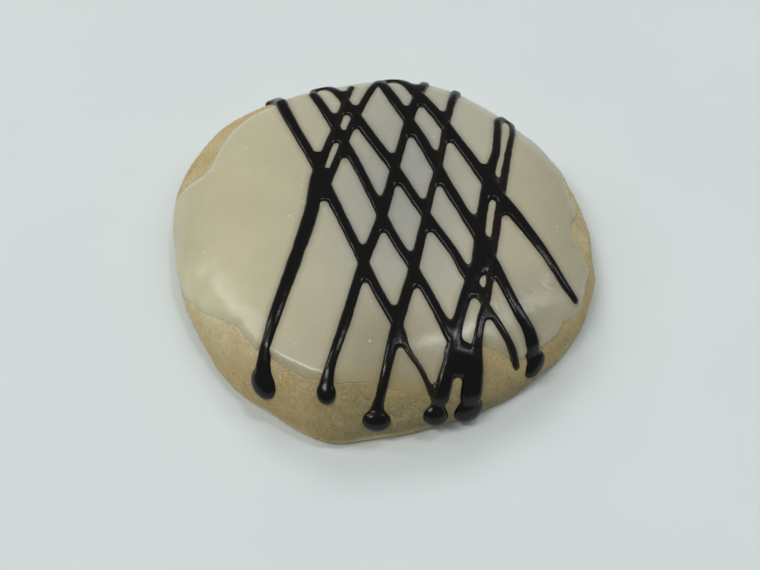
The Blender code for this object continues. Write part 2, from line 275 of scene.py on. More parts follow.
def hemPlace(angle):  # where the hem runs
    angle = np.asarray(angle) % (2 * np.pi)
    inset = np.interp(angle, hemAngles, hemInsets, period=2 * np.pi)
    circle = np.stack((np.cos(angle), np.sin(angle), 0 * angle), -1) * hemShape["wanderCircle"]
    coarse, fine = hemShape["wanderLumps"]
    circle = circle.reshape(-1, 3)
    wander = (noiseAt(circle, coarse, 3) + 0.5 * noiseAt(circle, fine)).reshape(angle.shape)
    return placeAtInset(np.maximum(inset + hemShape["wander"] * wander * np.minimum(inset, 2.0), 0.05))


rimAngles = np.arange(hemShape["steps"]) * 2 * np.pi / hemShape["steps"]
rimPlaces = hemPlace(rimAngles)
rimTree = treeOf(surfacePoint(rimPlaces, rimAngles))
lipTable = np.array(hemShape["lip"])
rimLip = np.stack([np.interp(np.degrees(rimAngles), lipTable[:, 0], column, period=360)
                   for column in lipTable[:, 1:].T], -1)


# Height of the top over the plain crust, how far it is from the hem, and whether it is iced: outside the hem
# the crust's bank, inside it the lip and then the full glaze
def hemLift(place, angle):
    flat = surfacePoint(place, angle).reshape(-1, 3)
    found = [rimTree.find(p)[1:] for p in flat.tolist()]
    number = np.array([f[0] for f in found])
    away = np.array([f[1] for f in found]).reshape(np.shape(place))
    width, blunt, swell, bank = (rimLip[number, k].reshape(np.shape(place)) for k in range(4))
    t = np.clip(away / width, 0, 1)
    lip = blunt * np.sqrt(1 - (1 - t) ** 2) + (1 - blunt) * smoothStep(0, 1, t)
    full = bank + (hemShape["thickness"] - bank) * lip + swell * bell(away - width, hemShape["swellWidth"])
    bare = bank * bell(away, hemShape["bank"])
    hem = np.interp(angle % (2 * np.pi), rimAngles, rimPlaces, period=2 * np.pi)
    iced = np.asarray(place) <= hem + 1e-6
    return np.where(iced, full, bare), away, iced


# A material with its shader and its noises, which are given as (size in mm, detail, roughness)
def newMaterial(name, noises):
    material = bpy.data.materials.new(name)
    material.use_nodes = True
    tree = material.node_tree
    tree.nodes.clear()
    shader = addNode(tree, "ShaderNodeBsdfPrincipled")
    addNode(tree, "ShaderNodeOutputMaterial", {"Surface": shader.outputs["BSDF"]})
    place = addNode(tree, "ShaderNodeTexCoord").outputs["Object"]
    made = {}
    for use, (size, detail, roughness) in noises.items():
        texture = addNode(tree, "ShaderNodeTexNoise", {"Vector": place, "Scale": 1 / (size * mm),
                                                       "Detail": detail, "Roughness": roughness})
        made[use] = texture.outputs["Fac"]
    return material, tree, shader, made


crustLook = {
    "colors": ((0.0, "#685c3b"), (0.3, "#978a62"), (0.55, "#bba576"), (0.8, "#cfbe95"), (1.0, "#e0d5b3")),
    "frosted": "#c4b898",    # where glaze has dried on it
    "noises": {
        "grain": (0.7, 5.0, 0.65),    # light and dark crumb
        "cloud": (6.0, 3.0, 0.5),     # paler and browner areas
        "paleSpeck": (0.3, 1.0, 0.5),     # pale specks
        "patch": (2.4, 4.0, 0.7),     # frosted patches
        "tooth": (0.22, 3.0, 0.5),    # the finest roughness
    },
    "ofGrain": (0.42, -0.20),         # what the grain adds to the tone, as a factor and an offset
    "ofCloud": 0.4,                   # and the areas, as a factor
    "specks": (0.6, 0.72),            # noise between which a speck sets in
    "speckStrength": (1.1, 0.12),     # where glaze has dried, and everywhere
    "patches": (0.5, 0.72, 2.6),      # noise between which a patch sets in, and its strength
    "bump": (0.5, 0.06),              # strength, and depth in mm
    "roughness": (-0.42, 0.78),       # what a film of glaze takes off, and that of the dry crust
}


# Soft baked cookie dough: dry and matt, a fine open crumb, tan, with painted light and shade: paler high
# spots, darker hollows and pores, and lit and shaded sides.
# Close below the hem a thin film of glaze makes it smoother, and further out the film has dried white.
# Inputs 6 and 7 of a colour mix are its two colours.
def bakedCrust():
    material, tree, shader, noises = newMaterial("soft_baked_dough", crustLook["noises"])
    # the paleness carries painted light and shade as well as the crust's own tone
    toneAndPaintedLight = addNode(tree, "ShaderNodeAttribute", attribute_name="toneAndPaintedLight").outputs["Fac"]
    film = addNode(tree, "ShaderNodeAttribute", attribute_name="film").outputs["Fac"]
    rest = addNode(tree, "ShaderNodeMath", {0: 1.0, 1: film}, operation="SUBTRACT").outputs[0]
    dried = addNode(tree, "ShaderNodeMath", {0: film, 1: rest}, operation="MULTIPLY").outputs[0]
    more, least = crustLook["speckStrength"]
    most = addNode(tree, "ShaderNodeMath", {0: dried, 1: more, 2: least}, operation="MULTIPLY_ADD")
    low, high = crustLook["specks"]
    specks = addNode(tree, "ShaderNodeMapRange", {"Value": noises["paleSpeck"], "From Min": low,
                                                  "From Max": high, "To Min": 0.0,
                                                  "To Max": most.outputs[0]})
    factor, offset = crustLook["ofGrain"]
    mixed = addNode(tree, "ShaderNodeMath", {0: noises["grain"], 1: factor, 2: offset},
                    operation="MULTIPLY_ADD").outputs[0]
    mixed = addNode(tree, "ShaderNodeMath", {0: mixed, 1: specks.outputs[0]}, operation="ADD").outputs[0]
    mixed = addNode(tree, "ShaderNodeMath", {0: noises["cloud"], 1: crustLook["ofCloud"], 2: mixed},
                    operation="MULTIPLY_ADD").outputs[0]
    mixed = addNode(tree, "ShaderNodeMath", {0: mixed, 1: toneAndPaintedLight}, operation="ADD").outputs[0]
    color = addNode(tree, "ShaderNodeValToRGB", {"Fac": mixed})
    fillRamp(color.color_ramp, crustLook["colors"])
    low, high, strength = crustLook["patches"]
    patches = addNode(tree, "ShaderNodeMapRange", {"Value": noises["patch"], "From Min": low,
                                                   "From Max": high, "To Min": 0.0, "To Max": strength})
    frost = addNode(tree, "ShaderNodeMath", {0: patches.outputs[0], 1: dried}, operation="MULTIPLY")
    frosted = addNode(tree, "ShaderNodeMix", {"Factor": frost.outputs[0], 6: color.outputs["Color"],
                                              7: linearColor(crustLook["frosted"])}, data_type="RGBA")
    strength, depth = crustLook["bump"]
    bump = addNode(tree, "ShaderNodeBump", {"Height": noises["tooth"], "Strength": strength,
                                            "Distance": depth * mm})
    less, dry = crustLook["roughness"]
    rough = addNode(tree, "ShaderNodeMath", {0: film, 1: less, 2: dry}, operation="MULTIPLY_ADD")
    setInputs(tree, shader, {"Base Color": frosted.outputs[2], "Normal": bump.outputs["Normal"],
                             "Roughness": rough.outputs[0], "IOR": 1.45, "Specular IOR Level": 0.4,
                             "Subsurface Weight": 0.25, "Subsurface Radius": (1.0, 0.7, 0.4),
                             "Subsurface Scale": 0.5 * mm})
    return material


glazeLook = {
    "noises": {
        "cloud": (8.0, 3.0, 0.5),     # milkier areas
        "speck": (0.7, 3.0, 0.6),     # the sugar's grain
        "frost": (0.45, 2.0, 0.5),    # the finest roughness
    },
    "ofCloud": (0.16, 0.88),          # how the areas change the brightness, as a factor and an offset
    "ofSpeck": 0.10,                  # and the grain, as a factor
    "bubble": "#f0ecdf",
    "bubbles": 4.2,                   # mm between the tiny air bubbles
    "bubbleSize": (0.03, 0.075),      # distances, as shares of that, over which a bubble fades
    "bubbleStrength": 0.55,
    "bump": (0.35, 0.05),             # strength, and depth in mm
}


# Sugar glaze, set: waxy, a little see-through, creamy where it is thick, with a fine frosted grain, and a
# tint that also carries painted light and shade
def lemonGlaze():
    material, tree, shader, noises = newMaterial("set_sugar_glaze", glazeLook["noises"])
    # the tint carries painted light and shade as well as the glaze's colour
    tintAndPaintedLight = addNode(tree, "ShaderNodeAttribute", attribute_name="tintAndPaintedLight").outputs["Color"]
    factor, offset = glazeLook["ofCloud"]
    mixed = addNode(tree, "ShaderNodeMath", {0: noises["cloud"], 1: factor, 2: offset},
                    operation="MULTIPLY_ADD").outputs[0]
    mixed = addNode(tree, "ShaderNodeMath", {0: noises["speck"], 1: glazeLook["ofSpeck"], 2: mixed},
                    operation="MULTIPLY_ADD").outputs[0]
    color = addNode(tree, "ShaderNodeVectorMath", {0: tintAndPaintedLight, "Scale": mixed}, operation="SCALE")
    place = addNode(tree, "ShaderNodeTexCoord").outputs["Object"]
    cell = addNode(tree, "ShaderNodeTexVoronoi", {"Vector": place, "Scale": 1 / (glazeLook["bubbles"] * mm)})
    full, gone = glazeLook["bubbleSize"]
    bubble = addNode(tree, "ShaderNodeMapRange", {"Value": cell.outputs["Distance"], "From Min": full,
                                                  "From Max": gone, "To Min": glazeLook["bubbleStrength"],
                                                  "To Max": 0.0})
    bubbled = addNode(tree, "ShaderNodeMix", {"Factor": bubble.outputs[0], 6: color.outputs[0],
                                              7: linearColor(glazeLook["bubble"])}, data_type="RGBA")
    strength, depth = glazeLook["bump"]
    bump = addNode(tree, "ShaderNodeBump", {"Height": noises["frost"], "Strength": strength,
                                            "Distance": depth * mm})
    setInputs(tree, shader, {"Base Color": bubbled.outputs[2], "Normal": bump.outputs["Normal"],
                             "Roughness": 0.24, "IOR": 1.49, "Subsurface Weight": 0.6,
                             "Subsurface Radius": (1.0, 0.8, 0.5), "Subsurface Scale": 1.2 * mm})
    return material


chocolateLook = {
    "colors": ((0.0, "#090806"), (0.5, "#19140d"), (1.0, "#423521")),    # from thick to thin
    "noises": {"ripple": (0.9, 2.0, 0.5)},
    "bump": (0.3, 0.08),              # strength, and depth in mm
}


# Tempered dark chocolate, piped and set: near black and glossy, and brown where a strand is thin
def darkChocolate():
    material, tree, shader, noises = newMaterial("piped_dark_chocolate", chocolateLook["noises"])
    thin = addNode(tree, "ShaderNodeAttribute", attribute_name="thin").outputs["Fac"]
    color = addNode(tree, "ShaderNodeValToRGB", {"Fac": thin})
    fillRamp(color.color_ramp, chocolateLook["colors"])
    strength, depth = chocolateLook["bump"]
    bump = addNode(tree, "ShaderNodeBump", {"Height": noises["ripple"], "Strength": strength,
                                            "Distance": depth * mm})
    setInputs(tree, shader, {"Base Color": color.outputs["Color"], "Normal": bump.outputs["Normal"],
                             "Roughness": 0.21, "IOR": 1.46, "Specular IOR Level": 0.38})
    return material


tableLook = {
    "colors": ((0.3, "#dfe6e7"), (0.7, "#e3eaea")),
    "noises": {"cloud": (40.0, 3.0, 0.5)},
}


def paleTable():  # matt white board, faintly blue
    material, tree, shader, noises = newMaterial("matt_pale_board", tableLook["noises"])
    color = addNode(tree, "ShaderNodeValToRGB", {"Fac": noises["cloud"]})
    fillRamp(color.color_ramp, tableLook["colors"])
    setInputs(tree, shader, {"Base Color": color.outputs["Color"], "Roughness": 0.6})
    return material


crustMaterial, glazeMaterial, chocolateMaterial = bakedCrust(), lemonGlaze(), darkChocolate()
print("materials made")


# Faces of rings of points that run from the top's middle round to the underside's, each end one point
def turnedFaces(rings, columns):
    faces = [(0, 1 + c, 1 + (c + 1) % columns) for c in range(columns)]
    for r in range(rings - 1):
        a, b = 1 + r * columns, 1 + (r + 1) * columns
        faces += [(a + c, b + c, b + (c + 1) % columns, a + (c + 1) % columns) for c in range(columns)]
    last = 1 + (rings - 1) * columns
    faces += [(last + c, 1 + rings * columns, last + (c + 1) % columns) for c in range(columns)]
    return faces


def insideBox(points):  # nothing stands out of the box of the solids
    low, high = (np.array(corner) / mm + middle for corner in cadBox)
    margin = 0.01
    return np.clip(points, low + (margin, margin, 0.0), high - margin)


def keepInside(piece):
    spots = np.empty(len(piece.data.vertices) * 3, np.float32)
    piece.data.vertices.foreach_get("co", spots)
    spots = insideBox(spots.reshape(-1, 3) / mm + middle) - middle
    piece.data.vertices.foreach_set("co", (spots * mm).astype(np.float32).ravel())
    piece.data.update()


crust = {
    "columns": 720,
    "ringStep": 0.27,    # mm along the flank
    "fineFrom": 3.4,     # place on the profile, under the glaze, from which the rings are close together
    "topRings": 8,
    "undersideRings": 7,
    "gaps": (3.0, 4.0),      # mm without rings round the middle of the top and of the underside
    "bare": (2.5, 3.6),      # places on the profile between which the crumb sets in
    "bareAbove": (0.15, 1.2),    # and heights in mm
    "lumps": (5.0, 0.10),    # size and height in mm
    "crumb": (1.1, 0.05),
    "grain": (0.45, 0.045),
    "pits": (1.6, 0.09),     # spacing and depth of the small open pores
    "pitWidth": 0.2,         # as a share of their spacing
    # mm, size of the groups that they lie in, and the noise between which they open
    "pitGroups": (3.0, -0.1, 0.35),
    "sunk": 0.05,            # mm that the whole crumb lies lower
    # mm that it stands out further at each point of the profile from the widest down, to meet the table
    "foot": (0.0, 0.45, 1.3, 1.7, 0.0),
    "bankPlaces": (1.5, 11.5),    # places on the profile between which the hem can run
    "bankUnder": (2.0, 0.8),    # mm over which the bank fades under the glaze, and its share there
    # how pale it is, from 0, browned, to 1, and how that follows the relief, paler on high spots as painted
    # light, the pores, darker as painted shade, and the height
    "toneAndPaintedLight": (0.36, 0.55, -0.08, 0.10),
    "toneHeights": (3.0, 9.0),
    # a painted light along the bottom edge at the front, and a painted shadow low on the front right, as
    # (share, height, width, angle, spread)
    "paintedLightBands": ((0.56, 1.0, 1.0, 262, 24), (-0.14, 2.0, 2.2, 304, 16)),
    # and painted light and shade by side, lighter on the left and darker at the front, where it is browner
    # too, as (share, angle, spread)
    "sides": ((-0.32, 274, 30), (-0.06, 322, 20), (0.26, 198, 26), (-0.07, 140, 25), (0.10, 20, 32)),
    # mm that a film of glaze reaches below the hem, and how much further round a front of (angle, spread)
    "film": (0.8, 3.0, 275, 30),
}


# Paleness of the crust, with painted light and shade: by band, by side, and on the relief and the pores
def crustToneAndPaintedLight(height, degrees, relief, pits):
    start, ofRelief, ofPits, ofHeight = crust["toneAndPaintedLight"]
    toneAndPaintedLight = start + ofRelief * relief + ofPits * pits + ofHeight * smoothStep(*crust["toneHeights"], height)
    for share, level, width, at, spread in crust["paintedLightBands"]:
        toneAndPaintedLight = toneAndPaintedLight + share * bell(height - level, width) * bell(degrees - at, spread)
    for share, at, spread in crust["sides"]:
        toneAndPaintedLight = toneAndPaintedLight + share * bell(degrees - at, spread)
    return toneAndPaintedLight


def makeCrust():
    columns = crust["columns"]
    startArc, endArc = arcAtPlace(crust["fineFrom"]), arcAtPlace(cookieShape["underside"])
    lastArc = arcAtPlace(len(profile) - 1) - crust["gaps"][1]
    arcs = np.concatenate((np.linspace(crust["gaps"][0], startArc, crust["topRings"])[:-1],
                           np.linspace(startArc, endArc, int((endArc - startArc) / crust["ringStep"])),
                           np.linspace(endArc, lastArc, crust["undersideRings"])[1:]))
    angle, arc = np.meshgrid(np.arange(columns) * 2 * np.pi / columns, arcs)
    place = placeAtArc(arc)
    plain = plainPoint(place, angle)
    normal = plainNormal(place, angle)
    outward = np.stack((np.cos(angle), np.sin(angle), 0 * angle), -1)
    foot = np.interp(place, cookieShape["widest"] + np.arange(len(crust["foot"])), crust["foot"])
    flat = plain.reshape(-1, 3)
    bare = smoothStep(*crust["bareAbove"], plain[..., 2]) * smoothStep(*crust["bare"], place)
    layers = ((crust["lumps"], 0.0), (crust["crumb"], 7.3), (crust["grain"], 3.1))
    fine = sum(height * noiseAt(flat, size, 2, shift).reshape(arc.shape) for (size, height), shift in layers)
    spacing, depth = crust["pits"]
    nearest = np.array([noise.voronoi(p)[0][0] for p in map(Vector, (flat / spacing).tolist())])
    pits = bell(nearest.reshape(arc.shape), crust["pitWidth"])
    size, closed, opened = crust["pitGroups"]
    pits = pits * smoothStep(closed, opened, noiseAt(flat, size, 1, 5.5).reshape(arc.shape))
    fine = fine - depth * pits - crust["sunk"]
    bank = np.zeros(place.shape)
    near = (place > crust["bankPlaces"][0]) & (place < crust["bankPlaces"][1])
    lift, away, iced = hemLift(place[near], angle[near])
    reach, share = crust["bankUnder"]
    bank[near] = np.where(iced, np.minimum(lift, rimLip[:, 3].max()) * bell(away, reach) * share, lift)
    relief = crustRelief(plain) + bank + fine * bare
    points = plain + normal * relief[..., None] + outward * foot[..., None]
    points[..., 2] = np.where(plain[..., 2] <= 0.01, plain[..., 2], points[..., 2])
    top, bottom = plainPoint(np.array([0.0]), np.array([0.0])), np.array([[0.0, 0.0, 0.0]])
    points = insideBox(np.concatenate((top, points.reshape(-1, 3), bottom)))
    piece = newPiece("crust", points, turnedFaces(len(arcs), columns), crustMaterial)
    degrees = np.degrees(angle) % 360
    # its paleness, with light and shade painted in
    toneAndPaintedLight = crustToneAndPaintedLight(plain[..., 2], degrees, fine, pits)
    reach, more, at, spread = crust["film"]
    film = np.zeros(place.shape)
    film[near] = bell(away, reach + more * bell(degrees[near] - at, spread))
    for name, end, values in (("toneAndPaintedLight", 0.3, toneAndPaintedLight), ("bare", 0.0, bare), ("film", 0.0, film)):
        storeValues(piece.data, name, np.concatenate(([end], values.ravel(), [end])))
    return piece


glaze = {
    "columns": 720,
    "rings": 74,
    "firstRing": 0.02,       # as a share of the way to the last one
    "lipSteps": (1.5, 1.2, 0.95, 0.72, 0.52, 0.36, 0.24, 0.14, 0.06, 0.0),    # distances from the hem in mm
    "lipGap": 0.3,           # mm between the last of the rings and the first of these
    # rings of the underside, as shares of the way to the hem
    "rootSteps": (1.0, 0.985, 0.95, 0.85, 0.6, 0.3),
    "root": 0.35,            # mm, how deep its underside lies in the crust
    "lowered": 0.04,         # mm that its top is lowered, to make up for the relief on it
    "swells": (11.0, 0.10),  # size and height in mm
    "ripples": (3.2, 0.025),
    "blister": (30.1, -13.4, 0.8, 0.3),        # x, y, radius, height
    "puckers": (25.0, -17.5, 6.5, 0.045),
    "puckerSize": 1.5,       # mm
    "reliefFrom": 2.0,       # mm from the hem, where the relief is full
    "ridgesFrom": 1.2,       # and where the ridges are
    # (height, half width, points in plan) of the soft ridges where the glaze turned over the shoulder
    "ridges": ((0.07, 1.8, ((-36.2, -1.0), (-33.8, -8.2), (-30.2, -14.2), (-25.5, -19.1), (-21.2, -22.3),
                            (-17.5, -24.0))),
               (0.36, 1.6, ((-28.6, -19.8), (-25.2, -23.2), (-21.6, -26.0), (-17.8, -28.7), (-13.9, -31.0),
                            (-10.5, -33.2), (-8.0, -34.6)))),
    "base": "#c4bea7",
    # (hex, x, y, reach in x, reach in y) in mm in plan, each laid softly over the last
    "tintsAndPaintedLight": (
        ("#c9c2a1", -27.0, 0.0, 17.0, 36.0),    # creamier on the left, and brighter there as painted light
        ("#dad2b2", -34.0, -17.0, 9.0, 11.0),   # paler over the left front shoulder, a painted light
        ("#b5ae94", 33.0, 4.0, 12.0, 28.0),     # darker on the right, a painted shade
        ("#a8a79f", 4.0, 9.0, 14.0, 31.0),      # whiter under the lattice, and greyer there as painted shade
        ("#a0987d", 1.0, -28.0, 9.5, 9.5),      # thin over the front edge, so the crust shows through
        ("#b0a994", 24.0, -18.0, 7.0, 7.0),     # and over the right front shoulder
    ),
    "hem": "#ab986e",        # where the crust shows through the thin hem
    # how clearly it does, as (share, angle, spread)
    "hemFronts": ((1.0, 280, 24), (0.3, 241, 14), (0.75, 257, 8)),
    "hemShare": (0.12, 0.83),    # at the sides, and how much more at the front
    "hemReach": (0.6, 2.5),      # mm, in the same way
    # the tint at the very middle, greyer as painted shade like the lattice's
    "middle": "#a9a898",
    "underside": "#b7a275",
}


# The glaze's own colours, with painted light and shade laid into some of the tints
def glazeTintAndPaintedLight(ground, away, angle):
    tintAndPaintedLight = np.broadcast_to(linearColor(glaze["base"])[:3], ground.shape).copy()
    for hexCode, x, y, acrossReach, alongReach in glaze["tintsAndPaintedLight"]:
        share = (bell(ground[..., 0] - x, acrossReach) * bell(ground[..., 1] - y, alongReach))[..., None]
        tintAndPaintedLight = tintAndPaintedLight * (1 - share) + np.array(linearColor(hexCode)[:3]) * share
    degrees = np.degrees(angle) % 360
    front = np.max([share * bell(degrees - at, spread) for share, at, spread in glaze["hemFronts"]], axis=0)
    share, moreShare = glaze["hemShare"]
    reach, moreReach = glaze["hemReach"]
    hem = ((share + moreShare * front) * bell(away, reach + moreReach * front))[..., None]
    return tintAndPaintedLight * (1 - hem) + np.array(linearColor(glaze["hem"])[:3]) * hem


def ridgeRelief(ground):
    relief = np.zeros(ground.shape[:-1])
    for height, halfAcross, line in glaze["ridges"]:
        line = np.array(line)
        nearest = np.full(relief.shape, 99.0)
        fade = np.ones(relief.shape)
        for k, (a, b) in enumerate(zip(line[:-1], line[1:])):
            step = b - a
            t = np.clip(((ground[..., :2] - a) @ step) / step.dot(step), 0, 1)
            gap = np.linalg.norm(ground[..., :2] - a - t[..., None] * step, axis=-1)
            along = (k + t) / (len(line) - 1)
            fade = np.where(gap < nearest, np.sin(np.pi * np.clip(along, 0.02, 0.98)) ** 0.6, fade)
            nearest = np.minimum(gap, nearest)
        relief = relief + height * bell(nearest, halfAcross) * fade
    return relief


def makeGlaze():
    columns = glaze["columns"]
    angles = np.arange(columns) * 2 * np.pi / columns
    hemArc = arcAtPlace(rimPlaces[::len(rimAngles) // columns])
    shares = np.linspace(glaze["firstRing"], 1.0, glaze["rings"])
    inner = shares[:, None] * (hemArc - glaze["lipSteps"][0] - glaze["lipGap"])[None, :]
    lip = hemArc[None, :] - np.array(glaze["lipSteps"])[:, None]
    arc = np.concatenate((inner, lip))
    place = placeAtArc(arc)
    angle = np.broadcast_to(angles, arc.shape)
    lift, away = hemLift(place, angle)[:2]
    ground = surfacePoint(place, angle)
    flat = ground.reshape(-1, 3)
    full = smoothStep(0.0, glaze["reliefFrom"], away)
    size, height = glaze["swells"]
    relief = height * noiseAt(flat, size, 2).reshape(arc.shape)
    size, height = glaze["ripples"]
    relief = relief + height * noiseAt(flat, size, 2, 4.2).reshape(arc.shape)
    x, y, radius, height = glaze["blister"]
    relief = relief + height * bell(np.hypot(ground[..., 0] - x, ground[..., 1] - y), radius)
    x, y, radius, height = glaze["puckers"]
    puckers = (1 - 2 * np.abs(noiseAt(flat, glaze["puckerSize"], 2, 8.8))).reshape(arc.shape)
    relief = relief + height * puckers * bell(np.hypot(ground[..., 0] - x, ground[..., 1] - y), radius)
    relief = relief * full + ridgeRelief(ground) * smoothStep(0.0, glaze["ridgesFrom"], away)
    points = surfacePoint(place, angle, lift + relief - glaze["lowered"])
    under = np.array(glaze["rootSteps"])[:, None] * hemArc[None, :]
    root = surfacePoint(placeAtArc(under), np.broadcast_to(angles, under.shape), -glaze["root"])
    zero = np.array([0.0])
    middleTop = surfacePoint(zero, zero, np.array([hemShape["thickness"] - glaze["lowered"]]))
    middleRoot = surfacePoint(zero, zero, np.array([-glaze["root"]]))
    points = np.concatenate((middleTop, points.reshape(-1, 3), root.reshape(-1, 3), middleRoot))
    faces = turnedFaces(len(arc) + len(under), columns)
    piece = newPiece("glaze", insideBox(points), faces, glazeMaterial)
    underside = np.tile(linearColor(glaze["underside"])[:3], (under.size + 1, 1))
    # tint with painted light and shade
    tintAndPaintedLight = glazeTintAndPaintedLight(ground, away, angle).reshape(-1, 3)
    storeColors(piece.data, "tintAndPaintedLight", np.concatenate(([linearColor(glaze["middle"])[:3]], tintAndPaintedLight, underside)))
    return piece


crustPiece = makeCrust()
print("crust made:", len(crustPiece.data.polygons), "faces")
glazePiece = makeGlaze()
print("glaze made:", len(glazePiece.data.polygons), "faces")

# Strokes of chocolate as (x, y, half width) in mm in plan, from the back to the front
strokes = {
    "falling1": ((-22.4, 31.8, 1.0), (-21.1, 33.0, 1.25), (-19.7, 30.6, 1.1), (-18.7, 27.5, 0.98),
                 (-16.4, 22.0, 0.88), (-12.1, 12.9, 0.87), (-8.8, 4.3, 0.87), (-5.0, -5.3, 0.82),
                 (-0.4, -17.1, 0.78), (3.0, -24.4, 0.75), (4.8, -28.9, 0.34), (7.0, -31.8, 0.28),
                 (9.0, -35.2, 0.28)),
    "falling2": ((-13.5, 32.6, 0.75), (-9.0, 23.4, 0.8), (-3.8, 11.7, 0.75), (1.8, -2.8, 0.75),
                 (6.4, -12.6, 0.75), (10.1, -21.2, 0.75), (12.6, -27.0, 0.9)),
    "falling3": ((-13.5, 32.6, 0.6), (-12.3, 34.2, 0.7), (-10.3, 34.4, 0.7), (-8.9, 33.0, 0.7),
                 (-7.3, 30.4, 0.75), (-2.7, 21.9, 0.95), (2.7, 12.4, 0.9), (8.7, 0.5, 0.8),
                 (13.4, -8.1, 0.75), (15.3, -12.9, 0.7), (17.1, -16.6, 0.62), (18.9, -20.2, 0.52),
                 (21.0, -23.4, 0.5), (23.1, -26.5, 0.52), (24.1, -28.8, 0.6)),
    "falling4": ((-0.3, 36.4, 0.8), (2.9, 29.8, 0.9), (8.1, 19.4, 0.95), (13.3, 6.6, 0.95),
                 (17.4, -2.6, 0.95), (19.6, -8.2, 0.95), (22.1, -15.1, 0.88), (24.2, -19.9, 0.92),
                 (26.15, -23.0, 1.08), (27.4, -26.8, 1.35)),
    "falling5": ((0.4, 35.4, 0.6), (1.6, 36.5, 0.7), (3.6, 36.6, 0.8), (5.3, 34.9, 0.85),
                 (6.9, 32.3, 0.95), (10.1, 27.7, 1.0), (16.2, 16.8, 0.95), (21.2, 7.1, 1.1),
                 (24.7, 1.3, 1.05), (28.4, -5.2, 0.9), (32.5, -12.3, 0.72), (35.0, -15.4, 0.55)),
    "rising1": ((-5.5, 34.6, 0.5), (-8.9, 21.9, 0.5), (-12.0, 10.6, 0.9), (-12.8, 1.9, 1.2),
                (-15.5, -10.1, 1.1), (-18.2, -20.9, 0.98), (-19.7, -27.0, 0.95), (-20.1, -29.4, 1.3),
                (-20.3, -31.6, 2.0), (-20.4, -33.0, 2.0)),
    "rising2": ((-0.3, 36.4, 0.65), (-4.9, 25.0, 0.6), (-9.0, 11.9, 0.62), (-11.0, 5.0, 0.8)),
    "rising3": ((9.0, 36.6, 0.9), (6.0, 26.0, 0.7), (3.3, 14.4, 0.65), (0.3, 0.5, 0.8),
                (-3.1, -11.0, 0.78), (-6.1, -23.6, 0.74), (-8.6, -32.0, 0.74), (-9.3, -35.0, 1.3)),
    "rising4": ((15.0, 34.4, 1.05), (14.4, 31.5, 0.7), (13.2, 25.1, 0.5), (11.5, 14.0, 0.5),
                (9.5, 5.5, 0.5), (6.3, -11.1, 0.75), (3.0, -24.4, 0.88), (1.0, -32.2, 0.68),
                (-0.2, -36.6, 0.75), (-0.6, -38.6, 1.5)),
    "rising5": ((24.4, 27.8, 0.8), (22.9, 25.4, 0.68), (22.7, 21.7, 0.58), (22.2, 16.3, 0.62),
                (21.2, 12.5, 0.75), (19.7, 5.0, 0.78), (18.6, -2.0, 0.8), (17.6, -11.6, 1.05),
                (15.8, -16.4, 0.92), (13.7, -23.4, 0.82), (12.6, -28.2, 1.0), (11.2, -32.3, 1.25),
                (9.8, -36.2, 1.7)),
    "rising6": ((24.0, 28.0, 0.85), (25.2, 26.4, 0.75), (25.5, 23.0, 0.55), (25.1, 19.6, 0.5),
                (23.8, 11.6, 0.5), (22.7, 5.0, 0.58), (21.9, 0.2, 0.58), (21.2, -4.6, 0.5),
                (20.3, -10.0, 0.5), (19.3, -17.0, 0.5), (17.9, -22.0, 0.6), (16.9, -26.3, 0.8),
                (16.3, -30.4, 1.7), (15.8, -33.6, 2.15), (15.7, -35.4, 2.1)),
}
# Beads as (x, y, half width across, half length down the slope, share of the half width that they stand up)
beads = (
    (-20.35, -31.9, 2.5, 3.1, 0.6), (-9.2, -35.5, 1.8, 2.1, 0.6), (-0.6, -38.8, 2.6, 2.1, 0.58),
    (9.6, -36.9, 2.45, 2.1, 0.58), (15.6, -35.3, 2.65, 2.9, 0.58), (27.6, -26.8, 1.85, 2.8, 0.58),
    (-11.9, 6.2, 1.3, 1.8, 0.45), (20.9, 8.0, 1.6, 3.4, 0.4), (18.9, -7.4, 1.8, 3.4, 0.4),
    (18.7, -11.4, 1.5, 2.0, 0.42), (17.2, -16.2, 1.0, 1.2, 0.4), (18.9, -17.4, 1.1, 1.1, 0.4),
    (13.8, -29.0, 2.9, 2.7, 0.3), (13.9, -31.0, 2.6, 1.4, 0.3),
)
drizzle = {
    "pointStep": 0.4,    # mm between the points along a stroke
    "standing": 0.6,     # how far a strand stands up, as a share of its half width
    "skirt": (0.28, 0.16),    # mm that a thin edge of chocolate runs out beside a strand, and its thickness
    "spread": 0.10,      # mm that a strand settles outward to each side
    "voxel": 0.2,        # mm, of the grid that fuses the strands
    "web": 0.55,         # mm, radius of the webs that fill the corners where strands cross
    "fineStrands": ("rising2", "rising6"),    # thin strands with open slots beside them
    "fineSpread": 0.03,
    "fineWeb": 0.22,
    "frontWeb": 1.15,    # mm, radius of the wider web on the front side of a crossing
    "backWeb": 0.7,      # mm, radius of the web on its back side
    "longestWeb": 4.6,   # mm
    "webTip": 0.12,      # mm, how much blunter a web's tip is than the corner asks
    "crossingGap": 0.5,  # mm, within which strands count as crossing
    "leastSine": 0.2,    # of half the angle at which strands cross, below which there is no web
    "pool": 1.12,        # half width where strands cross, as a share of the strands' own
    "quiver": (0.09, 3.0),    # how unsteady the half width is, as a share of it, and over how many mm
    "skirtQuiver": (0.5, 1.6),    # and the reach of the skirt
    "thinBelow": (0.4, 0.75),    # mm, half widths between which the chocolate turns from brown to black
    "thinEdge": 0.34,    # mm, height below which its edge is brown too
    "brown": (0.55, 0.9),    # how brown a thin strand is, and an edge
    "kept": 0.56,        # share of the faces that are kept
    "stainAndShade": (0.75, 0.34),    # mm that it stains and shades the glaze beside it, a cocoa stain with painted contact shade, and how strongly
    "stainAndShadeColor": "#6a5c46",
}


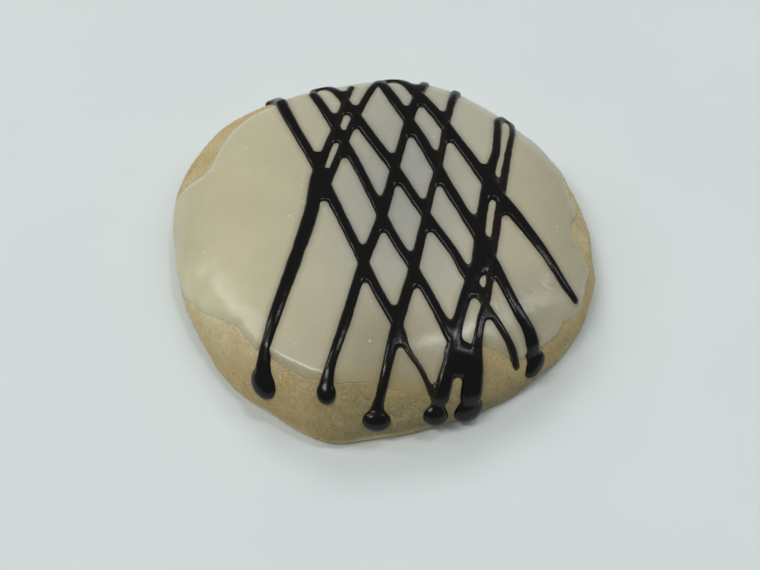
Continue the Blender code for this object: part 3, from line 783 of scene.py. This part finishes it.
def strokeLine(controls):  # evenly spaced points along a stroke, and how far along it they are
    controls = np.array(controls)
    fine = splineAt(controls, np.linspace(0, len(controls) - 1, 4000))
    run = np.concatenate(([0.0], np.cumsum(np.hypot(*np.diff(fine[:, :2], axis=0).T))))
    even = np.linspace(0, run[-1], max(int(run[-1] / drizzle["pointStep"]), 4))
    return np.stack([np.interp(even, run, fine[:, c]) for c in range(3)], -1), even


def groundUnder(x, y):  # the top that a strand lies on, evened out along it, and which way is out
    place, angle = underPlan(x, y)
    lift = hemLift(place, angle)[0]
    kernel = np.hanning(7) / np.hanning(7).sum()
    if len(lift) > 12:
        lift = np.convolve(np.pad(lift, 3, mode="edge"), kernel, mode="valid")
    return surfacePoint(place, angle, lift), plainNormal(place, angle)


# Where a falling stroke crosses a rising one: (point, heading of the front web, half width,
# sine of half the angle between them, whether the strand is a fine one)
def crossings(lines):
    found = []
    falling = [line for name, line in lines.items() if name.startswith("falling")]
    rising = [(line, name in drizzle["fineStrands"]) for name, line in lines.items()
              if name.startswith("rising")]
    for a in falling:
        for b, fine in rising:
            gap = np.hypot(a[:, None, 0] - b[None, :, 0], a[:, None, 1] - b[None, :, 1])
            i, j = np.unravel_index(np.argmin(gap), gap.shape)
            inner = 3 < i < len(a) - 4 and 3 < j < len(b) - 4
            if gap[i, j] > drizzle["crossingGap"] or not inner:
                continue
            headings = [line[k + 3, :2] - line[k - 3, :2] for line, k in ((a, i), (b, j))]
            headings = [heading / np.linalg.norm(heading) for heading in headings]
            forward = headings[0] + headings[1]
            forward = forward / np.linalg.norm(forward)
            sine = math.sqrt(1 - headings[0].dot(forward) ** 2)
            half = (a[i, 2] + b[j, 2]) / 2 + drizzle["spread"]
            if sine > drizzle["leastSine"]:
                found.append(((a[i, :2] + b[j, :2]) / 2, forward, half, sine, fine))
    return found


# A web, a strand or a bead is a row of (points, radii, outward normals, nominal half widths, kind),
# and its kind is 0 for a common strand, 1 for a fine one and 2 for a bead
def webRows(lines):
    rows = []
    for spot, heading, half, sine, fine in crossings(lines):
        for forward, web in ((heading, drizzle["frontWeb"]), (-heading, drizzle["backWeb"])):
            tip = web * (1 - sine) + drizzle["webTip"]
            length = min((half + web) / sine - web, drizzle["longestWeb"]) - 0.7 * tip
            t = np.linspace(0, 1, 12)
            path = spot + forward * (t * length)[:, None]
            ground, normal = groundUnder(path[:, 0], path[:, 1])
            pooled = half * (drizzle["pool"] if not fine else 1.0)
            width = pooled + (tip - pooled) * t
            # raised as it narrows, so that its top stays level with the strands'
            level = drizzle["standing"] * np.clip(half - width, -0.3, 0.75 * width)
            rows.append((ground + normal * level[:, None], width, normal, width + 0.3, 1.0 if fine else 0.0))
    return rows


def alongNoise(run, shift, size):  # unsteadiness along a stroke, with a shift of its own
    return noiseAt(np.stack((run, 0 * run + shift, 0 * run), -1), size, 2)


def strokeRows():  # each stroke as a strand, and as the thin skirt at its foot
    rows = []
    for number, (name, controls) in enumerate(strokes.items()):
        line, run = strokeLine(controls)
        kind = 1.0 if name in drizzle["fineStrands"] else 0.0
        half = line[:, 2] + drizzle["fineSpread" if kind else "spread"]
        share, size = drizzle["quiver"]
        half = half * (1 + share * alongNoise(run, 9.7 * number, size))
        ends = np.minimum(run, run[-1] - run)
        half = half * np.sqrt(np.clip(1 - (1 - np.clip(ends / line[:, 2], 0.0, 1.0)) ** 2, 0.05, 1))
        ground, normal = groundUnder(line[:, 0], line[:, 1])
        rows.append((ground, half, normal, line[:, 2], kind))
        reach, thickness = drizzle["skirt"]
        share, size = drizzle["skirtQuiver"]
        skirt = half + reach * (1 + share * alongNoise(run, 4.1 * number, size))
        level = thickness - drizzle["standing"] * skirt
        rows.append((ground + normal * level[:, None], skirt, normal, line[:, 2], kind))
    return rows


def beadRows():  # drops and pools, as short thick strands that run down the slope
    rows = []
    for x, y, across, lengthways, share in beads:
        ratio = (share / drizzle["standing"]) ** 2
        sink = (1 - ratio) / (1 + ratio)
        radius = across / math.sqrt(1 - sink ** 2)
        t = np.sin(np.linspace(-1, 1, 25) * np.pi / 2)
        place, angle = underPlan(np.array([x]), np.array([y]))
        lift = hemLift(place, angle)[0]
        centre, normal = surfacePoint(place, angle, lift)[0], plainNormal(place, angle)[0]
        down = np.array((0.0, -1.0, 0.0))
        down = down - normal * down.dot(normal)
        down = down / np.linalg.norm(down)
        stretch = lengthways / across * radius
        path = centre + down * (t * stretch)[:, None] - normal * sink * drizzle["standing"] * radius
        radii = radius * np.sqrt(np.clip(1 - t ** 2, 0.02, 1))
        rows.append((path, radii, np.broadcast_to(normal, path.shape), 0 * t + across, 2.0))
    return rows


def joinRows(rows):  # all points, radii, normals and nominal half widths, each as one array
    return [np.concatenate([row[k] for row in rows]) for k in range(4)]


# Strands swept along their lines, fused, their corners filled, then made a mesh again
def drizzleTree(material):
    tree = bpy.data.node_groups.new("pipedDrizzle", "GeometryNodeTree")
    face = tree.interface
    face.new_socket("Lines", in_out="INPUT", socket_type="NodeSocketGeometry")
    for name in ("Voxel", "Web", "Fine Web", "Standing"):
        face.new_socket(name, in_out="INPUT", socket_type="NodeSocketFloat")
    face.new_socket("Drizzle", in_out="OUTPUT", socket_type="NodeSocketGeometry")
    given = addNode(tree, "NodeGroupInput").outputs
    outward = addNode(tree, "GeometryNodeInputNamedAttribute", {"Name": "outward"}, data_type="FLOAT_VECTOR")
    half = addNode(tree, "GeometryNodeInputNamedAttribute", {"Name": "half"}, data_type="FLOAT")
    kind = addNode(tree, "GeometryNodeInputNamedAttribute", {"Name": "kind"}, data_type="FLOAT")
    ring = addNode(tree, "GeometryNodeCurvePrimitiveCircle", {"Resolution": 28, "Radius": 1.0})
    # a section's X axis is turned outward
    low = addNode(tree, "ShaderNodeCombineXYZ", {"X": given["Standing"], "Y": 1.0, "Z": 1.0})
    oval = addNode(tree, "GeometryNodeTransform", {"Geometry": ring.outputs[0], "Scale": low.outputs[0]})
    tall = addNode(tree, "ShaderNodeMath", {0: given["Standing"], 1: 2.0}, operation="MULTIPLY")
    corner = addNode(tree, "ShaderNodeMath", {0: given["Standing"], 1: 0.9}, operation="MULTIPLY")
    box = addNode(tree, "GeometryNodeCurvePrimitiveQuadrilateral", {"Width": tall.outputs[0], "Height": 2.0})
    ribbon = addNode(tree, "GeometryNodeFilletCurve", {"Curve": box.outputs[0], "Count": 5,
                                                       "Radius": corner.outputs[0]}, mode="POLY")
    parts = {}
    for number, section in ((0, ribbon), (1, ribbon), (2, oval)):
        picked = addNode(tree, "FunctionNodeCompare", {0: kind.outputs[0], 1: float(number), "Epsilon": 0.4},
                         data_type="FLOAT", operation="EQUAL")
        lines = addNode(tree, "GeometryNodeSeparateGeometry", {"Geometry": given["Lines"],
                                                               "Selection": picked.outputs[0]})
        curve = addNode(tree, "GeometryNodeMeshToCurve", {"Mesh": lines.outputs["Selection"]})
        turned = addNode(tree, "GeometryNodeSetCurveNormal", {"Curve": curve.outputs[0],
                                                              "Normal": outward.outputs[0]}, mode="FREE")
        tubes = addNode(tree, "GeometryNodeCurveToMesh", {"Curve": turned.outputs[0], "Fill Caps": True,
                                                          "Profile Curve": section.outputs[0],
                                                          "Scale": half.outputs[0]})
        parts[number] = tubes.outputs[0]
    fused = None
    for added, web in (((parts[0], parts[2]), given["Web"]), ((parts[1],), given["Fine Web"])):
        both = addNode(tree, "GeometryNodeJoinGeometry")
        for piece in added + ((fused,) if fused else ()):
            tree.links.new(piece, both.inputs["Geometry"])
        fused = both.outputs[0]
        shrink = addNode(tree, "ShaderNodeMath", {0: web, 1: -1.0}, operation="MULTIPLY")
        for distance in (web, shrink.outputs[0]):    # swell, then shrink by as much: corners stay filled
            grid = addNode(tree, "GeometryNodeMeshToSDFGrid", {"Mesh": fused, "Voxel Size": given["Voxel"],
                                                               "Band Width": 5})
            skin = addNode(tree, "GeometryNodeGridToMesh", {"Grid": grid.outputs[0], "Threshold": distance})
            fused = skin.outputs[0]
    spot = addNode(tree, "GeometryNodeInputPosition")
    calm = addNode(tree, "GeometryNodeBlurAttribute", {"Value": spot.outputs[0], "Iterations": 2},
                   data_type="FLOAT_VECTOR")
    moved = addNode(tree, "GeometryNodeSetPosition", {"Geometry": fused, "Position": calm.outputs[0]})
    soft = addNode(tree, "GeometryNodeSetShadeSmooth", {"Geometry": moved.outputs[0]})
    real = addNode(tree, "GeometryNodeRealizeInstances", {"Geometry": soft.outputs[0]})
    done = addNode(tree, "GeometryNodeSetMaterial", {"Geometry": real.outputs[0], "Material": material})
    addNode(tree, "NodeGroupOutput", {"Drizzle": done.outputs[0]})
    return tree


# Runs a node tree on an object and keeps the result as a plain mesh
def growMesh(source, tree, name, inputs):
    modifier = source.modifiers.new("grow", "NODES")
    modifier.node_group = tree
    for item in tree.interface.items_tree:
        if item.item_type == "SOCKET" and item.in_out == "INPUT" and item.name in inputs:
            modifier[item.identifier] = inputs[item.name]
    evaluated = source.evaluated_get(bpy.context.evaluated_depsgraph_get())
    mesh = bpy.data.meshes.new_from_object(evaluated)
    source.modifiers.remove(modifier)
    mesh.name = name
    return addObject(name, mesh)


def thinOut(piece, share):  # fewer faces in the same shape
    modifier = piece.modifiers.new("thin", "DECIMATE")
    modifier.ratio = share
    mesh = bpy.data.meshes.new_from_object(piece.evaluated_get(bpy.context.evaluated_depsgraph_get()))
    piece.modifiers.remove(modifier)
    old, piece.data = piece.data, mesh
    bpy.data.meshes.remove(old)
    mesh.name = piece.name
    return piece


def makeDrizzle(rows):
    points, half, outward, nominal = joinRows(rows)
    kind = np.concatenate([np.full(len(row[0]), row[4]) for row in rows])
    edges, start = [], 0
    for row in rows:
        edges += [(start + k, start + k + 1) for k in range(len(row[0]) - 1)]
        start += len(row[0])
    placed = (points - middle) * mm
    mesh = bpy.data.meshes.new("strandLines")
    mesh.from_pydata(placed.tolist(), edges, [])
    storeValues(mesh, "half", half * mm)
    storeValues(mesh, "kind", kind)
    attribute = mesh.attributes.new("outward", "FLOAT_VECTOR", "POINT")
    attribute.data.foreach_set("vector", outward.astype(np.float32).ravel())
    lines = addObject("strandLines", mesh)
    piece = growMesh(lines, drizzleTree(chocolateMaterial), "drizzle",
                     {"Voxel": drizzle["voxel"] * mm, "Web": drizzle["web"] * mm,
                      "Fine Web": drizzle["fineWeb"] * mm, "Standing": drizzle["standing"]})
    bpy.data.objects.remove(lines)
    piece = thinOut(piece, drizzle["kept"])
    tree = treeOf(placed)
    near = np.array([tree.find(vertex.co)[1] for vertex in piece.data.vertices])
    spots = np.array([vertex.co for vertex in piece.data.vertices]) / mm + middle
    rise = ((spots - points[near]) * outward[near]).sum(-1)    # over what the strand lies on
    thin = 1 - smoothStep(*drizzle["thinBelow"], nominal[near])
    edge = 1 - smoothStep(0.0, drizzle["thinEdge"], rise)
    ofStrand, ofEdge = drizzle["brown"]
    storeValues(piece.data, "thin", np.maximum(ofStrand * thin, ofEdge * edge))
    keepInside(piece)
    return piece


def stainAndShadeGlaze(rows):  # cocoa fat creeps a little way into the glaze beside a strand, and the same darkening paints the contact shade there
    points, half = joinRows(rows)[:2]
    tree = treeOf((points - middle) * mm)
    found = [tree.find(vertex.co)[1:] for vertex in glazePiece.data.vertices]
    gap = np.array([f[1] for f in found]) / mm - half[[f[0] for f in found]]
    reach, strength = drizzle["stainAndShade"]
    share = (strength * bell(np.maximum(gap, 0.0), reach))[:, None]
    tintsAndPaintedLight = glazePiece.data.attributes["tintAndPaintedLight"].data
    colors = np.empty(len(tintsAndPaintedLight) * 4, np.float32)
    tintsAndPaintedLight.foreach_get("color", colors)
    colors = colors.reshape(-1, 4)
    colors[:, :3] = colors[:, :3] * (1 - share) + np.array(linearColor(drizzle["stainAndShadeColor"])[:3]) * share
    tintsAndPaintedLight.foreach_set("color", colors.ravel())


allRows = webRows({name: strokeLine(controls)[0] for name, controls in strokes.items()})
allRows += strokeRows() + beadRows()
drizzlePiece = makeDrizzle(allRows)
stainAndShadeGlaze(allRows)
print("drizzle made:", len(drizzlePiece.data.polygons), "faces")

# Loose crumbs on the bare crust, from the least to the most mm in radius
crumbs = {"perSquareMm": 0.5, "least": 0.10, "most": 0.24, "seed": 7, "squash": (1.0, 0.75, 0.6)}


def crumbTree(material):
    tree = bpy.data.node_groups.new("looseCrumb", "GeometryNodeTree")
    face = tree.interface
    face.new_socket("Crust", in_out="INPUT", socket_type="NodeSocketGeometry")
    for name in ("Density", "Least", "Most"):
        face.new_socket(name, in_out="INPUT", socket_type="NodeSocketFloat")
    face.new_socket("Seed", in_out="INPUT", socket_type="NodeSocketInt")
    face.new_socket("Crumbs", in_out="OUTPUT", socket_type="NodeSocketGeometry")
    given = addNode(tree, "NodeGroupInput").outputs
    bare = addNode(tree, "GeometryNodeInputNamedAttribute", {"Name": "bare"}, data_type="FLOAT")
    density = addNode(tree, "ShaderNodeMath", {0: bare.outputs[0], 1: given["Density"]},
                      operation="MULTIPLY")
    spots = addNode(tree, "GeometryNodeDistributePointsOnFaces", {"Mesh": given["Crust"],
                                                                  "Density": density.outputs[0],
                                                                  "Seed": given["Seed"]})
    grain = addNode(tree, "GeometryNodeMeshIcoSphere", {"Radius": 1.0, "Subdivisions": 1})
    size = addNode(tree, "FunctionNodeRandomValue", {2: given["Least"], 3: given["Most"],
                                                     "Seed": given["Seed"]}, data_type="FLOAT")
    turn = addNode(tree, "FunctionNodeRandomValue", {1: (6.28, 6.28, 6.28), "Seed": given["Seed"]},
                   data_type="FLOAT_VECTOR")
    scaled = addNode(tree, "ShaderNodeVectorMath", {0: crumbs["squash"], "Scale": size.outputs[1]},
                     operation="SCALE")
    placed = addNode(tree, "GeometryNodeInstanceOnPoints", {"Points": spots.outputs["Points"],
                                                            "Instance": grain.outputs[0],
                                                            "Rotation": turn.outputs[0],
                                                            "Scale": scaled.outputs[0]})
    real = addNode(tree, "GeometryNodeRealizeInstances", {"Geometry": placed.outputs[0]})
    soft = addNode(tree, "GeometryNodeSetShadeSmooth", {"Geometry": real.outputs[0]})
    done = addNode(tree, "GeometryNodeSetMaterial", {"Geometry": soft.outputs[0], "Material": material})
    addNode(tree, "NodeGroupOutput", {"Crumbs": done.outputs[0]})
    return tree


crumbPiece = growMesh(crustPiece, crumbTree(crustMaterial), "crumbs",
                      {"Density": crumbs["perSquareMm"] / mm ** 2, "Least": crumbs["least"] * mm,
                       "Most": crumbs["most"] * mm, "Seed": crumbs["seed"]})
keepInside(crumbPiece)
print("crumbs made:", len(crumbPiece.data.polygons), "faces")

for piece, node, slot in ((crustPiece, "cookie", "baked_crust"), (crumbPiece, "cookie", "baked_crust"),
                          (glazePiece, "icing", "lemon_glaze"), (drizzlePiece, "icing", "dark_chocolate")):
    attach(piece, "root")
    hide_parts(node)


def makeFloor():
    mesh = bpy.data.meshes.new("table")
    side = 3.0    # metres
    corners = [(-side, -side, 0), (side, -side, 0), (side, side, 0), (-side, side, 0)]
    mesh.from_pydata(corners, [], [(0, 1, 2, 3)])
    mesh.materials.append(paleTable())
    floor = addObject("table", mesh)


# Soft lights round the cookie, as (name, place in metres, length, depth, watts, hex, the axis of the length
# if it isn't level, whether it is mirrored): one that isn't only fills the shadows
softboxes = (
    ("leftWindow", (-1.457, 0.473, 1.286), 0.16, 1.25, 4.7, "#fafdff", None, True),
    ("backWindow", (-0.27, 1.51, 1.29), 1.2, 0.5, 10.6, "#fafdff", None, False),
    ("frontFill", (-0.4, -0.45, 1.4), 1.2, 0.3, 1.4, "#fffcf4", None, False),
    ("leftTube", (-0.715, -0.390, 1.5), 0.74, 0.15, 6.4, "#fffcf4", (0.895, -0.445, 0.0), True),
    ("rightWindow", (1.27, 0.18, 1.53), 0.30, 1.1, 4.6, "#fafdff", None, True),
    ("topWindow", (0.49, 0.29, 1.88), 0.34, 0.24, 4.1, "#fafdff", (0.545, -0.838, 0.0), True),
)
room = {"color": "#eef4f5", "strength": 0.242}
view = {"lens": 71.05, "place": (-0.0001388, -0.1775755, 0.22890), "tilt": 37.0}    # mm, metres and degrees


def addSoftbox(name, place, length, depth, power, hexCode, along, mirrored):  # it faces the cookie
    data = bpy.data.lights.new(name, "AREA")
    data.shape, data.size, data.size_y, data.energy = "RECTANGLE", length, depth, power
    data.color = linearColor(hexCode)[:3]
    light = addObject(name, data)
    light.visible_glossy = mirrored
    light.location = place
    back = Vector(place).normalized()
    side = Vector(along) if along else Vector((0.0, 0.0, 1.0)).cross(back)
    side = (side - back * side.dot(back)).normalized()
    light.rotation_euler = Matrix((side, back.cross(side), back)).transposed().to_euler()


makeFloor()
for softbox in softboxes:
    addSoftbox(*softbox)

world = bpy.data.worlds.new("room")
world.use_nodes = True
setInputs(world.node_tree, world.node_tree.nodes["Background"],
          {"Color": linearColor(room["color"]), "Strength": room["strength"]})
bpy.context.scene.world = world
bpy.context.scene.view_settings.view_transform = "Standard"

camera = addObject("camera", bpy.data.cameras.new("camera"))
camera.data.lens = view["lens"]
camera.data.clip_start, camera.data.clip_end = 0.01, 20.0
camera.location = view["place"]
camera.rotation_euler = (math.radians(view["tilt"]), 0.0, 0.0)
bpy.context.scene.camera = camera
print("light and camera made")

print("scene ready")
